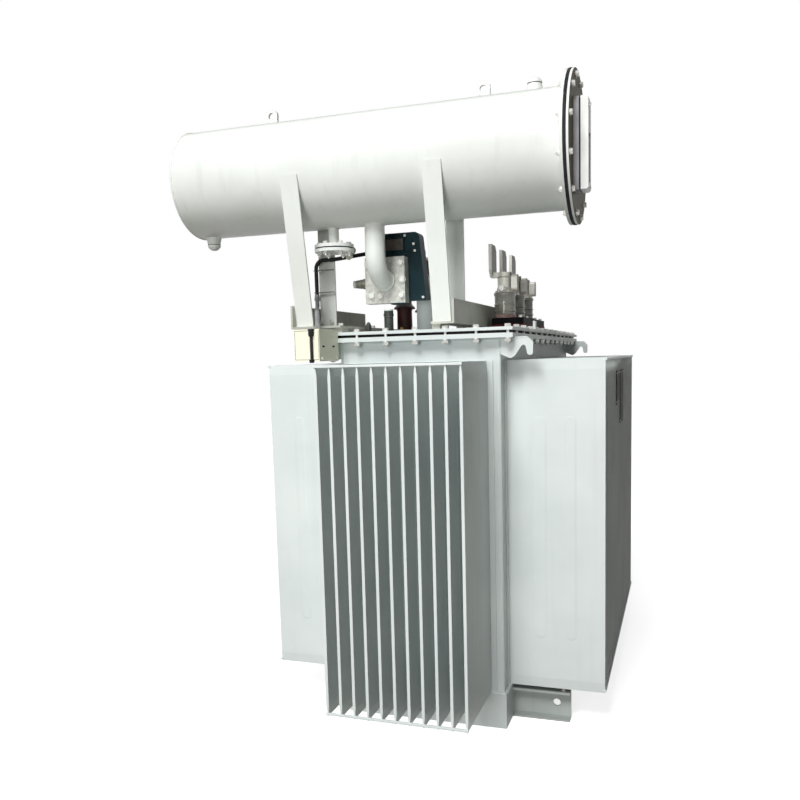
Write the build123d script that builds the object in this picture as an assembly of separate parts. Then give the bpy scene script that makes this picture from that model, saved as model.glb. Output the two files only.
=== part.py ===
from build123d import *
from math import asin, atan2, cos, degrees, radians, sqrt
import os

os.makedirs("parts", exist_ok=True)
nodes = {}


def block(x0, x1, y0, y1, z0, z1):
    """A plain block between two corners."""
    return Pos((x0 + x1) / 2, (y0 + y1) / 2, (z0 + z1) / 2) * Box(x1 - x0, y1 - y0, z1 - z0)


def rod_x(x0, x1, y, z, r):
    """A round bar lying along X."""
    return Pos((x0 + x1) / 2, y, z) * Rot(0, 90, 0) * Cylinder(r, x1 - x0)


def rod_y(x, y0, y1, z, r):
    """A round bar lying along Y."""
    return Pos(x, (y0 + y1) / 2, z) * Rot(90, 0, 0) * Cylinder(r, y1 - y0)


def rod_z(x, y, z0, z1, r):
    """A round bar standing along Z."""
    return Pos(x, y, (z0 + z1) / 2) * Cylinder(r, z1 - z0)


def turned(points):
    """A solid of revolution about Z from (radius, height) points, closed along the axis."""
    outline = [(0, points[0][1])] + points + [(0, points[-1][1])]
    return revolve(Plane.XZ * make_face(Polyline(*outline, close=True)), Axis.Z)


# Tank: a plain rectangular body, closed, with a thicker skirt round its foot and a rim on top.
tank_half_x = 305.0
tank_half_y = 852.0
wall_plate = 6.0
rim_thick = 16.0
skirt_top = 130.0
skirt_out = 6.0
skirt_gap = 2.0
fin_tall = 1218.0
shoulder = 95.0
fin_bottom = skirt_top + skirt_gap
fin_top = fin_bottom + fin_tall
tank_top = fin_top + shoulder
body_x = tank_half_x - wall_plate
body_y = tank_half_y - wall_plate
skirt_x = tank_half_x + skirt_out
skirt_y = tank_half_y + skirt_out

rim_out_x = 50.0
rim_out_y = 40.0
rim_x = tank_half_x + rim_out_x
rim_y = tank_half_y + rim_out_y
rim_bottom = tank_top - rim_thick

nodes["tank_body"] = (block(-body_x, body_x, -body_y, body_y, 0, tank_top)
                      + block(-skirt_x, skirt_x, -skirt_y, skirt_y, 0, skirt_top)
                      + block(-rim_x, rim_x, -rim_y, rim_y, rim_bottom, tank_top))

# The seal lying on the rim and the cover plate above.
seal_inset = 22.0
seal_thick = 10.0
cover_thick = 11.0
seal_top = tank_top + seal_thick
cover_top = seal_top + cover_thick
seal_frame = 95.0
seal_x = rim_x - seal_inset
seal_y = rim_y - seal_inset

nodes["cover_gasket"] = (block(-seal_x, seal_x, -seal_y, seal_y, tank_top, seal_top)
                         - block(-seal_x + seal_frame, seal_x - seal_frame,
                                 -seal_y + seal_frame, seal_y - seal_frame,
                                 tank_top - 1, seal_top + 1))
cover = block(-rim_x, rim_x, -rim_y, rim_y, seal_top, cover_top)

# Corrugated walls: on each side one sheet with deep hollow-looking fins folded out of it.
# Every fin is pinched flat along its top and bottom edges and stiffened across the tips.
fin_pitch = 50.0
fin_depth = 350.0
fin_thick = 11.0
pinch_thick = 3.0
pinch_band = 38.0
front_count = 11
side_count = 31
bar_size = 9.0
bar_lift = 4.0
bar_low = fin_bottom + bar_lift
bar_high = fin_top - bar_size


def fin_outline(centre):
    """One fin seen end on, in width and height, with its pinched top and bottom."""
    t = fin_thick / 2
    p = pinch_thick / 2
    low = fin_bottom + pinch_band
    high = fin_top - pinch_band
    return make_face(Polyline(
        (centre - p, fin_bottom), (centre + p, fin_bottom), (centre + t, low), (centre + t, high),
        (centre + p, fin_top), (centre - p, fin_top), (centre - t, high), (centre - t, low),
        close=True))


def fin_bank(count, wall_at):
    """A wall sheet with its fins and two tip bars, facing -Y, its outer skin at -wall_at."""
    span = (count - 1) * fin_pitch
    edge = (span + fin_pitch) / 2
    sheet = block(-edge, edge, -wall_at, -wall_at + wall_plate, fin_bottom, fin_top)
    plane = Plane(origin=(0, -wall_at, 0), x_dir=(1, 0, 0), z_dir=(0, -1, 0))
    fins = [extrude(plane * fin_outline(i * fin_pitch - span / 2), fin_depth) for i in range(count)]
    tip = -wall_at - fin_depth
    bars = [block(-span / 2 - fin_thick / 2, span / 2 + fin_thick / 2,
                  tip - bar_size / 2, tip + bar_size / 2, z, z + bar_size) for z in (bar_low, bar_high)]
    return sheet.fuse(*fins, *bars)


front_bank = fin_bank(front_count, tank_half_y)
side_bank = fin_bank(side_count, tank_half_x)
nodes["front_fins"] = front_bank
nodes["rear_fins"] = Rot(0, 0, 180) * front_bank
nodes["right_fins"] = Rot(0, 0, 90) * side_bank
nodes["left_fins"] = Rot(0, 0, -90) * side_bank

# Name plate blanks fixed to the tips of the right-hand fins.
tips_x = tank_half_x + fin_depth
plate_thick = 3.0
plate_down = 57.0
plate_top = fin_top - plate_down
small_plate_y = -300.0
small_plate_wide = 127.0
small_plate_high = 136.0
large_plate_y = -98.0
large_plate_wide = 162.0
large_plate_high = 226.0
nodes["small_name_plate"] = block(tips_x, tips_x + plate_thick, small_plate_y,
                                  small_plate_y + small_plate_wide, plate_top - small_plate_high, plate_top)
nodes["large_name_plate"] = block(tips_x, tips_x + plate_thick, large_plate_y,
                                  large_plate_y + large_plate_wide, plate_top - large_plate_high, plate_top)

# Base channels: two stubs of C section on the right of the skirt, each with a hauling hole.
channel_in = 110.0
channel_front = tank_half_y - channel_in
channel_wide = 48.0
channel_high = 112.0
channel_skin = 8.0
channel_long = 214.0
channel_end = skirt_x + channel_long
channel_hole_in = 53.0
channel_hole_r = 14.0


def channel_stub():
    """The front stub: open side to the front, web to the rear."""
    front = -channel_front
    back = front + channel_wide
    solid = block(skirt_x, channel_end, front, back, 0, channel_high)
    solid -= block(skirt_x - 1, channel_end + 1, front - 1, back - channel_skin,
                   channel_skin, channel_high - channel_skin)
    return solid - rod_y(channel_end - channel_hole_in, front - 1, back + 1,
                         channel_high / 2, channel_hole_r)


nodes["base_channel_front"] = channel_stub()
nodes["base_channel_rear"] = mirror(channel_stub(), about=Plane.XZ)

# Lifting hooks: a plate across each tank corner under the rim, cut to a hook open below.
# Its outline runs from the tank corner, in distances out from the corner and down from the rim.
hook_thick = 14.0
hook_round = 9.0
hook_outline = ((0, 0), (0, 58), (34, 73), (50, 62), (74, 27), (86, 27), (94, 62), (112, 62),
                (113, 18), (96, 0))


def lift_hook():
    """The front right hook plate, lying flat against the front of the tank body."""
    face = make_face(Polyline(*[(tank_half_x + out, rim_bottom - down) for out, down in hook_outline],
                              close=True))
    face = fillet(face.vertices().sort_by(Axis.X)[2:], hook_round)
    plate = extrude(Plane(origin=(0, -body_y - wall_plate, 0), x_dir=(1, 0, 0), z_dir=(0, -1, 0)) * face,
                    -hook_thick)
    root = block(body_x, tank_half_x + 1, -tank_half_y, -tank_half_y + hook_thick,
                 rim_bottom - hook_outline[1][1], rim_bottom)
    return (plate + root) - block(-body_x, body_x, -body_y, body_y, 0, tank_top)


hook = lift_hook()
nodes["lift_hook_front_right"] = hook
nodes["lift_hook_front_left"] = mirror(hook, about=Plane.YZ)
nodes["lift_hook_rear_right"] = mirror(hook, about=Plane.XZ)
nodes["lift_hook_rear_left"] = mirror(mirror(hook, about=Plane.YZ), about=Plane.XZ)

# Conservator: a lying drum with a flat welded left end and a flanged right end.
# Its pipe, spare branch, filler neck, drain and curled lifting hooks are welded to it.
drum_y = -650.0
drum_up = 623.0
drum_z = cover_top + drum_up
drum_r = 210.0
drum_skin = 5.0
drum_long = 1526.0
drum_right = 530.0
drum_left = drum_right - drum_long
drum_rim_out = 52.0
drum_rim_r = drum_r + drum_rim_out
drum_rim_thick = 12.0
end_skin = 6.0
drum_top = drum_z + drum_r
drum_low = drum_z - drum_r

outside = rod_x(drum_left, drum_right, drum_y, drum_z, drum_r)
hollow = rod_x(drum_left, drum_right + 1, drum_y, drum_z, drum_r - drum_skin)

# Feed pipe: straight down from the drum, round an elbow, back to the relay.
pipe_x = -228.0
pipe_r = 39.0
bend_r = 92.0
pipe_back = 100.0
pipe_root = 20.0
relay_down = 201.0
relay_z = drum_low - relay_down
relay_front = drum_y + pipe_back
feed_path = FilletPolyline((pipe_x, drum_y, drum_low + pipe_root), (pipe_x, drum_y, relay_z),
                           (pipe_x, relay_front, relay_z), radius=bend_r)
feed = sweep(Plane(origin=feed_path @ 0, z_dir=feed_path % 0) * Circle(pipe_r), path=feed_path)

# Spare branch with its upper flange.
branch_x = -400.0
branch_r = 20.0
branch_rim_r = 77.0
branch_rim_thick = 12.0
branch_drop = 75.0
branch_root = 8.0
branch_z = drum_low - branch_drop
branch = rod_z(branch_x, drum_y, branch_z, drum_low + branch_root, branch_r)
branch += rod_z(branch_x, drum_y, branch_z, branch_z + branch_rim_thick, branch_rim_r)

# Filler neck and domed cap above, the same fitting upside down as the drain below.
neck_foot_r = 31.0
neck_top_r = 25.0
neck_high = 27.0
neck_root = 12.0
cap_top_r = 10.0
cap_high = 22.0
filler_x = 397.0
drain_in = 57.0
drain_x = drum_left + drain_in


def neck_fitting():
    """A tapered neck with a domed cap, standing up from height zero."""
    neck = rod_z(0, 0, -neck_root, 1, neck_foot_r)
    neck += Pos(0, 0, neck_high / 2) * Cone(neck_foot_r, neck_top_r, neck_high)
    return neck + Pos(0, 0, neck_high + cap_high / 2) * Cone(neck_top_r, cap_top_r, cap_high)


filler = Pos(filler_x, drum_y, drum_top) * neck_fitting()
drain = Pos(drain_x, drum_y, drum_low) * Rot(180, 0, 0) * neck_fitting()

# Plate eyes for lifting the drum: a short stem with a ring on its left.
eye_thick = 12.0
eye_r = 26.0
eye_hole_r = 13.0
eye_off = 17.0
eye_rise = 32.0
eye_stem = 16.0
eye_root = 3.0
eye_left_in = 365.0
eye_right_in = 303.0
eyes = []
for x in (drum_left + eye_left_in, drum_right - eye_right_in):
    front = drum_y - eye_thick / 2
    back = drum_y + eye_thick / 2
    eye = rod_y(x - eye_off, front, back, drum_top + eye_rise, eye_r)
    eye += block(x - eye_stem / 2, x + eye_stem / 2, front, back,
                 drum_top - eye_root, drum_top + eye_rise + eye_r / 2)
    eyes.append(eye - rod_y(x - eye_off, front - 1, back + 1, drum_top + eye_rise, eye_hole_r))

rim = rod_x(drum_right - drum_rim_thick, drum_right, drum_y, drum_z, drum_rim_r)
shell = outside.fuse(feed, branch, filler, drain, rim, *eyes)
shell -= hollow
shell -= rod_x(drum_left - 1, drum_left + end_skin, drum_y, drum_z, drum_r + 1)
nodes["conservator_shell"] = shell
nodes["conservator_left_end"] = rod_x(drum_left, drum_left + end_skin, drum_y, drum_z, drum_r)
branch_seal = 5.0
blank_top = branch_z - branch_seal
nodes["spare_branch_seal"] = rod_z(branch_x, drum_y, blank_top, branch_z, branch_rim_r - seal_inset / 4)
nodes["spare_branch_blank"] = rod_z(branch_x, drum_y, blank_top - branch_rim_thick, blank_top, branch_rim_r)

# Right end: a thick seal ring and a flat cover plate bolted to the drum's ring.
seal_ring = 9.0
lid_thick = 10.0
seal_out = 2.0
seal_r = drum_rim_r - seal_out
lid_x = drum_right + seal_ring
lid_face = lid_x + lid_thick
nodes["conservator_gasket"] = (rod_x(drum_right, lid_x, drum_y, drum_z, seal_r)
                               - rod_x(drum_right - 1, lid_x + 1, drum_y, drum_z, drum_r - drum_skin))
nodes["conservator_end_cover"] = rod_x(lid_x, lid_face, drum_y, drum_z, drum_rim_r)

# Level gauge on the cover's front half: a back box, a narrow neck and a framed window.
gauge_tall = 306.0
gauge_wide = 80.0
gauge_back = 18.0
gauge_gap = 6.0
gauge_front = 26.0
gauge_neck_in = 6.0
gauge_off = 95.0
gauge_drop = 14.0
gauge_y = drum_y - gauge_off
gauge_z = drum_z - gauge_drop
gauge_step = lid_face + gauge_back
gauge_face = gauge_step + gauge_gap


def gauge_block(x0, x1, inset):
    """One layer of the gauge, drawn in all round by an inset."""
    return block(x0, x1, gauge_y - gauge_wide / 2 + inset, gauge_y + gauge_wide / 2 - inset,
                 gauge_z - gauge_tall / 2 + inset, gauge_z + gauge_tall / 2 - inset)


nodes["level_gauge_body"] = (gauge_block(lid_face, gauge_step, 0)
                             + gauge_block(gauge_step, gauge_face, gauge_neck_in))
glass = gauge_block(gauge_face, gauge_face + gauge_front, 0)
nodes["level_gauge_glass"] = chamfer(glass.edges().filter_by(Axis.Y).group_by(Axis.X)[-1], gauge_neck_in)

# Two angle beams on the cover carry the legs; welded packing strips lift them off it.
beam_in = 92.0
beam_long = 775.0
beam_front = beam_in - rim_y
beam_rear = beam_front + beam_long
beam_skin = 8.0
beam_high = 111.0
beam_foot = 30.0
left_beam_out = 173.0
left_beam_x = -rim_x - left_beam_out
left_beam_wide = 205.0
right_beam_x = 124.0
right_beam_wide = 88.0
pack_long = 60.0
pack_end = 15.0
pack_y = (beam_front + pack_end + pack_long / 2, (beam_front + beam_rear) / 2,
          beam_rear - pack_end - pack_long / 2)
pack_wide = 30.0


def beam(outer_x, inward, width):
    """An angle, its upright web on the outer side, with packing under its free edge."""
    edge = outer_x + inward * width
    web = min(outer_x, outer_x + inward * beam_skin)
    flange_top = cover_top + beam_foot
    flange_low = flange_top - beam_skin
    solid = block(min(outer_x, edge), max(outer_x, edge), beam_front, beam_rear, flange_low, flange_top)
    solid += block(web, web + beam_skin, beam_front, beam_rear, flange_low, cover_top + beam_high)
    pack = min(edge, edge - inward * pack_wide)
    for y in pack_y:
        solid += block(pack, pack + pack_wide, y - pack_long / 2, y + pack_long / 2, cover_top, flange_low)
    return solid


nodes["left_beam"] = beam(left_beam_x, 1, left_beam_wide)
nodes["right_beam"] = beam(right_beam_x, -1, right_beam_wide)

# Legs: angles standing on the beams; the front pair leans out against the drum's face.
leg_wide = 70.0
leg_deep = 46.0
leg_skin = 8.0
leg_foot = cover_top + beam_foot
front_leg_in = 35.0
front_leg_y = beam_front + front_leg_in
leg_top_down = 37.0
front_leg_top = drum_z - leg_top_down
rear_leg_back = 90.0
rear_leg_y = drum_y + rear_leg_back
right_leg_in = 21.0
rear_left_in = 10.0
left_leg_x = left_beam_x + beam_skin
right_leg_x = right_beam_x - right_leg_in - leg_wide
rear_left_x = left_leg_x + rear_left_in
lean_run = drum_y - front_leg_y
lean_rise = drum_z - leg_foot
lean = degrees(asin((drum_r + leg_skin) / sqrt(lean_run ** 2 + lean_rise ** 2)) - atan2(lean_run, lean_rise))


def front_leg(x0):
    """A leaning angle: a wide front face and a web along its left edge."""
    x1 = x0 + leg_wide
    long = (front_leg_top - leg_foot) / cos(radians(lean)) + leg_wide
    solid = block(x0, x1, 0, leg_skin, -leg_wide, long)
    solid += block(x0, x0 + leg_skin, 0, leg_deep, -leg_wide, long)
    solid = Pos(0, front_leg_y, leg_foot) * Rot(lean, 0, 0) * solid
    keep = block(x0 - 1, x1 + 1, drum_y - 2 * drum_r, drum_y + drum_r, leg_foot, front_leg_top)
    return (solid & keep) - outside


def rear_leg(x0):
    """An upright angle cut off against the underside of the drum."""
    x1 = x0 + leg_wide
    solid = block(x0, x1, rear_leg_y, rear_leg_y + leg_skin, leg_foot, drum_z)
    solid += block(x0, x0 + leg_skin, rear_leg_y, rear_leg_y + leg_deep, leg_foot, drum_z)
    return solid - outside


nodes["front_left_leg"] = front_leg(left_leg_x)
nodes["front_right_leg"] = front_leg(right_leg_x)
nodes["rear_left_leg"] = rear_leg(rear_left_x)
nodes["rear_right_leg"] = rear_leg(right_leg_x)

# Gas relay: a square front flange with a side valve, and the dark cast housing.
flange_wide = 84.0
flange_tall = 91.0
flange_thick = 50.0
valve_r = 15.0
valve_long = 58.0
valve_down = 8.0
house_left_out = 34.0
house_wide = 191.0
house_deep = 62.0
house_narrow = 26.0
house_below = 80.0
house_above = 189.0
house_round = 22.0
house_left = pipe_x - house_left_out
house_right = house_left + house_wide
house_low = relay_z - house_below
house_high = relay_z + house_above
house_front = relay_front + flange_thick
house_back = house_front + house_deep

flange = block(pipe_x - flange_wide, pipe_x + flange_wide, relay_front, house_front,
               relay_z - flange_tall, relay_z + flange_tall)
flange += rod_x(pipe_x - flange_wide - valve_long, pipe_x - flange_wide + 1,
                relay_front + flange_thick / 2, relay_z - valve_down, valve_r)
nodes["relay_front_flange"] = flange
outline = make_face(Polyline((house_left, house_low), (house_right, house_low),
                             (house_right - house_narrow, house_high), (house_left, house_high), close=True))
housing = extrude(Plane(origin=(0, house_back, 0), x_dir=(1, 0, 0), z_dir=(0, -1, 0)) * outline,
                  house_front * -1 + house_back)
housing = fillet(housing.edges().filter_by(Axis.Y).group_by(Axis.Z)[-1], house_round)
nodes["gas_relay"] = housing

# Riser: from the rear flange of the relay round an elbow and down to the cover.
riser_in = 69.0
riser_out = 153.0
riser_x = house_right - riser_in
riser_y = house_back + riser_out
riser_bend = 62.0
rear_rim_r = 62.0
rear_rim_thick = 12.0
riser_foot_r = 52.0
riser_foot_high = 12.0
riser_path = FilletPolyline((riser_x, house_back, relay_z), (riser_x, riser_y, relay_z),
                            (riser_x, riser_y, cover_top - 1), radius=riser_bend)
riser = sweep(Plane(origin=riser_path @ 0, z_dir=riser_path % 0) * Circle(pipe_r), path=riser_path)
riser += rod_y(riser_x, house_back, house_back + rear_rim_thick, relay_z, rear_rim_r)
riser += rod_z(riser_x, riser_y, cover_top - 1, cover_top + riser_foot_high, riser_foot_r)

# High voltage bushings: brown porcelain in clamp rings along the left of the cover.
hv_x = -255.0
hv_first = -230.0
hv_pitch = 300.0
hv_y = (hv_first, hv_first + hv_pitch, hv_first + 2 * hv_pitch)
hv_clamp_r = 50.0
hv_clamp_high = 24.0
hv_body_r = 34.0
hv_shed_r = 48.0
hv_shed_at = (98.0, 178.0, 258.0)
hv_shed_thick = 16.0
hv_top = 330.0
hv_post_r = 11.0
hv_collar_high = 12.0
hv_post_high = 46.0

# Thermometer pocket near the front of the cover.
pocket_x = -212.0
pocket_y = -560.0
pocket_r = 18.0
pocket_high = 97.0

# A small upright lug stands on the right edge of the cover.
lug_in = 15.0
lug_x = rim_x - lug_in
lug_y = -400.0
lug_high = 34.0
lug_wide = 30.0
lug_thick = 10.0

cover_fittings = [riser,
                  rod_z(pocket_x, pocket_y, cover_top - 1, cover_top + pocket_high, pocket_r),
                  block(lug_x, lug_x + lug_thick, lug_y, lug_y + lug_wide,
                        cover_top - 1, cover_top + lug_high)]
for y in hv_y:
    cover_fittings.append(rod_z(hv_x, y, cover_top - 1, cover_top + hv_clamp_high, hv_clamp_r))
nodes["tank_cover"] = cover.fuse(*cover_fittings)

hv_profile = [(hv_body_r, 0)]
for z in hv_shed_at:
    hv_profile += [(hv_body_r, z), (hv_shed_r, z), (hv_body_r, z + hv_shed_thick)]
hv_profile += [(hv_body_r, hv_top)]
hv_porcelain = turned(hv_profile)
hv_terminal = rod_z(0, 0, 0, hv_post_high, hv_post_r) + rod_z(0, 0, 0, hv_collar_high, 2 * hv_post_r)
for i, y in enumerate(hv_y):
    foot = cover_top + hv_clamp_high
    nodes["hv_bushing_" + str(i + 1)] = Pos(hv_x, y, foot) * hv_porcelain
    nodes["hv_terminal_" + str(i + 1)] = Pos(hv_x, y, foot + hv_top) * hv_terminal

# Low voltage bushings: three in a row along the right of the cover on one base plate.
lv_x = 190.0
lv_pitch = 215.0
lv_plate_high = 57.0
lv_plate_left = 46.0
lv_plate_right = 88.0
lv_plate_end = 52.0
lv_ring_r = 46.0
lv_ring_high = 15.0
lv_body_r = 43.0
lv_body_high = 92.0
lv_lip = 12.0
lv_clamp_r = 30.0
lv_clamp_high = 84.0
blade_in = 51.0
blade_thick = 13.0
blade_wide = 96.0
blade_low = 64.0
blade_spread = 92.0
blade_high = 200.0
blade_cut = 22.0
blade_waist = 21.0
palm_out = 44.0
palm_thick = 24.0
palm_wide = 40.0
palm_low = 8.0
palm_high = 74.0
palm_round = 12.0

nodes["lv_base_plate"] = block(lv_x - lv_plate_left, lv_x + lv_plate_right, -lv_pitch - lv_plate_end,
                               lv_pitch + lv_plate_end, cover_top, cover_top + lv_plate_high)
lv_foot = cover_top + lv_plate_high
z1 = lv_ring_high
z2 = z1 + lv_body_high
lv_body = turned([(lv_ring_r, 0), (lv_ring_r, z1), (lv_body_r, z1), (lv_body_r, z2 - lv_lip),
                  (lv_body_r + lv_lip / 3, z2 - lv_lip), (lv_body_r + lv_lip / 3, z2)])


def lv_terminal():
    """A round clamp with a tall flat blade on its left and a low rounded palm on its right."""
    left = -blade_in - blade_thick / 2
    half = blade_wide / 2
    clamp = rod_z(0, 0, 0, lv_clamp_high, lv_clamp_r)
    clamp += block(left, 0, -blade_waist, blade_waist, blade_low, lv_clamp_high)
    side = Plane(origin=(left, 0, 0), x_dir=(0, 1, 0), z_dir=(1, 0, 0))
    blade = extrude(side * make_face(Polyline(
        (-blade_waist, blade_low), (blade_waist, blade_low), (half, blade_spread),
        (half, blade_high - blade_cut), (half - blade_cut, blade_high), (-half, blade_high),
        (-half, blade_spread), close=True)), blade_thick)
    palm = block(palm_out - palm_thick / 2, palm_out + palm_thick / 2, -palm_wide / 2, palm_wide / 2,
                 palm_low, palm_high)
    palm = fillet(palm.edges().filter_by(Axis.X), palm_round)
    palm += block(0, palm_out, -palm_wide / 4, palm_wide / 4, palm_low + palm_round, palm_high - palm_round)
    return clamp + blade + palm


for i in range(3):
    spot = Pos(lv_x, (i - 1) * lv_pitch, lv_foot)
    nodes["lv_bushing_" + str(i + 1)] = spot * lv_body
    nodes["lv_terminal_" + str(i + 1)] = spot * Pos(0, 0, z2) * lv_terminal()

# Marshalling box on the front left of the rim.
box_in = 61.0
box_wide = 96.0
box_deep = 168.0
box_up = 10.0
box_tall = 113.0
box_right = box_in - rim_x
box_left = box_right - box_wide
box_front = -rim_y - box_deep
box_high = cover_top + box_up
box_low = box_high - box_tall
nodes["terminal_box"] = block(box_left, box_right, box_front, -rim_y, box_low, box_high)

# Signal cable: from the relay, under the spare branch and down beside the rear left leg.
cable_r = 8.0
cable_bend = 34.0
cable_start = 68.0
cable_pass = 8.0
cable_gap_x = 0.3
cable_gap_y = 1.0
cable_up = 122.0
cable_high = relay_z + cable_up
cable_low = blank_top - branch_rim_thick - 2 * cable_r
cable_in = 20.0
cable_back = house_back - cable_in
cable_turn_x = rear_left_x + leg_wide + cable_pass
cable_x = rear_left_x - cable_r - cable_gap_x
cable_y = rear_leg_y - cable_r - cable_gap_y
joint_down = 150.0
joint_z = cable_low - joint_down
cable_path = FilletPolyline(
    (house_left, cable_back, cable_high), (house_left - cable_start, cable_back, cable_high),
    (cable_turn_x, cable_y, cable_low),
    (cable_x, cable_y, cable_low), (cable_x, cable_y, joint_z), radius=cable_bend)
nodes["signal_cable"] = sweep(Plane(origin=cable_path @ 0, z_dir=cable_path % 0) * Circle(cable_r),
                              path=cable_path)

# A bent conduit carries it on from there, past the front left leg, to the top of the box.
conduit_r = 9.0
conduit_lead = 34.0
conduit_end = 40.0
conduit_in = 38.0
conduit_back = 120.0
conduit_past = 3.0
conduit_rise = 75.0
conduit_x = box_left + conduit_in
conduit_y = box_front + conduit_back
past_x = left_leg_x + leg_wide + conduit_r + conduit_past
past_y = front_leg_y + leg_skin + conduit_past
past_z = box_high + conduit_rise
conduit_path = FilletPolyline(
    (cable_x, cable_y, joint_z), (cable_x, cable_y, joint_z - conduit_lead), (past_x, past_y, past_z),
    (conduit_x, conduit_y, box_high + conduit_end), (conduit_x, conduit_y, box_high), radius=cable_bend)
nodes["cable_conduit"] = sweep(Plane(origin=conduit_path @ 0, z_dir=conduit_path % 0) * Circle(conduit_r),
                               path=conduit_path)

for name, solid in nodes.items():
    solid.label = name
    export_step(solid, "parts/" + name + ".step")
print(len(nodes), "nodes")
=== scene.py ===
import math

import bmesh
import bpy
from mathutils import Matrix, Vector


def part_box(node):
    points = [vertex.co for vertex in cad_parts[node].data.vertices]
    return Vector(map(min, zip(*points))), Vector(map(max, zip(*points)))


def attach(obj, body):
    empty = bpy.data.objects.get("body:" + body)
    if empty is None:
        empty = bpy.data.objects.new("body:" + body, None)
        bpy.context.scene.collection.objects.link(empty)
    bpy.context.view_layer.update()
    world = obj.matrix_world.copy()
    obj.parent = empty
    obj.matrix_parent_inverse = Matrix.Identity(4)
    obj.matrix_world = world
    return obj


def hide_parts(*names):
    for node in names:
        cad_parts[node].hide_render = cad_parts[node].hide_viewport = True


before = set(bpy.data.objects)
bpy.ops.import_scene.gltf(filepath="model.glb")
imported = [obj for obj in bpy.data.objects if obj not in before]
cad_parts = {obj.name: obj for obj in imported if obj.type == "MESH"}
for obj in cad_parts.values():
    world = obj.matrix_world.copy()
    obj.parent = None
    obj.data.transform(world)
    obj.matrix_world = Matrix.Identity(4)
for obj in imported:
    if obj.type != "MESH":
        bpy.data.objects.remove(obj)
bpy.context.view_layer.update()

# Tank body: a welded steel box with a thicker skirt at its foot and a flat rim round its top.
# It is sprayed pale grey, with a slow drift in tone, a fine orange peel and faint runs of dirt.
MM = 0.001
TANK_X = 299
TANK_Y = 846
SKIRT_TOP = 130
RIM_LOW = 1429
SHEET = 6


def shade(red, green, blue):
    """A screen colour from 0 to 255, as the linear values a shader takes."""
    out = []
    for level in (red, green, blue):
        part = level / 255
        out.append(part / 12.92 if part <= 0.04045 else ((part + 0.055) / 1.055) ** 2.4)
    return (out[0], out[1], out[2], 1.0)


def finish_of(name, light, dark, rough, metal=0.0, drift=3.0, grain=260.0, peel=0.15, streak=0.0,
              shine=0.25):
    """A material whose tone drifts between two colours, with a fine surface grain and optional runs."""
    made = bpy.data.materials.new(name)
    made.use_nodes = True
    nodes = made.node_tree.nodes
    links = made.node_tree.links
    shader = nodes["Principled BSDF"]
    shader.inputs["Metallic"].default_value = metal
    shader.inputs["Specular IOR Level"].default_value = shine
    place = nodes.new("ShaderNodeTexCoord")
    clouds = nodes.new("ShaderNodeTexNoise")
    clouds.inputs["Scale"].default_value = drift
    clouds.inputs["Detail"].default_value = 6
    links.new(place.outputs["Object"], clouds.inputs["Vector"])
    blend = nodes.new("ShaderNodeMix")
    blend.data_type = "RGBA"
    blend.inputs["A"].default_value = light
    blend.inputs["B"].default_value = dark
    spread = nodes.new("ShaderNodeMapRange")
    spread.inputs["From Min"].default_value = 0.35
    spread.inputs["From Max"].default_value = 0.7
    links.new(clouds.outputs["Fac"], spread.inputs["Value"])
    links.new(spread.outputs["Result"], blend.inputs["Factor"])
    colour = blend.outputs["Result"]
    if streak:
        squeeze = nodes.new("ShaderNodeMapping")
        squeeze.inputs["Scale"].default_value = (30, 30, 1.2)
        links.new(place.outputs["Object"], squeeze.inputs["Vector"])
        runs = nodes.new("ShaderNodeTexNoise")
        runs.inputs["Scale"].default_value = 1.0
        runs.inputs["Detail"].default_value = 4
        links.new(squeeze.outputs["Vector"], runs.inputs["Vector"])
        thin = nodes.new("ShaderNodeMapRange")
        thin.inputs["From Min"].default_value = 0.55
        thin.inputs["From Max"].default_value = 0.8
        thin.inputs["To Max"].default_value = streak
        links.new(runs.outputs["Fac"], thin.inputs["Value"])
        stain = nodes.new("ShaderNodeMix")
        stain.data_type = "RGBA"
        stain.inputs["B"].default_value = [0.45 * c for c in dark[:3]] + [1]
        links.new(colour, stain.inputs["A"])
        links.new(thin.outputs["Result"], stain.inputs["Factor"])
        colour = stain.outputs["Result"]
    links.new(colour, shader.inputs["Base Color"])
    gloss = nodes.new("ShaderNodeMapRange")
    gloss.inputs["To Min"].default_value = rough - 0.06
    gloss.inputs["To Max"].default_value = rough + 0.1
    links.new(clouds.outputs["Fac"], gloss.inputs["Value"])
    links.new(gloss.outputs["Result"], shader.inputs["Roughness"])
    fine = nodes.new("ShaderNodeTexNoise")
    fine.inputs["Scale"].default_value = grain
    fine.inputs["Detail"].default_value = 3
    links.new(place.outputs["Object"], fine.inputs["Vector"])
    bump = nodes.new("ShaderNodeBump")
    bump.inputs["Strength"].default_value = peel
    bump.inputs["Distance"].default_value = 0.001
    links.new(fine.outputs["Fac"], bump.inputs["Height"])
    links.new(bump.outputs["Normal"], shader.inputs["Normal"])
    return made


tank_paint = finish_of("tank_paint", shade(226, 233, 231), shade(214, 222, 221), 0.42, streak=0.10)


def dress(node, material):
    """Gives a solid of the frame its finish."""
    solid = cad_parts[node]
    solid.data.materials.clear()
    solid.data.materials.append(material)
    return solid


def shown(name, mesh, material):
    """Turns a finished mesh into a piece that stands with the transformer."""
    bmesh.ops.recalc_face_normals(mesh, faces=mesh.faces)
    data = bpy.data.meshes.new(name)
    mesh.to_mesh(data)
    mesh.free()
    data.materials.append(material)
    piece = bpy.data.objects.new(name, data)
    bpy.context.scene.collection.objects.link(piece)
    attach(piece, "root")
    return piece


def soft_edges(piece, width, segments=2):
    """Rounds the sharp edges of a piece by a small width."""
    bevel = piece.modifiers.new("rounded", "BEVEL")
    bevel.width = width
    bevel.segments = segments
    bevel.limit_method = "ANGLE"
    bevel.angle_limit = math.radians(40)
    bevel.harden_normals = True
    return piece


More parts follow.
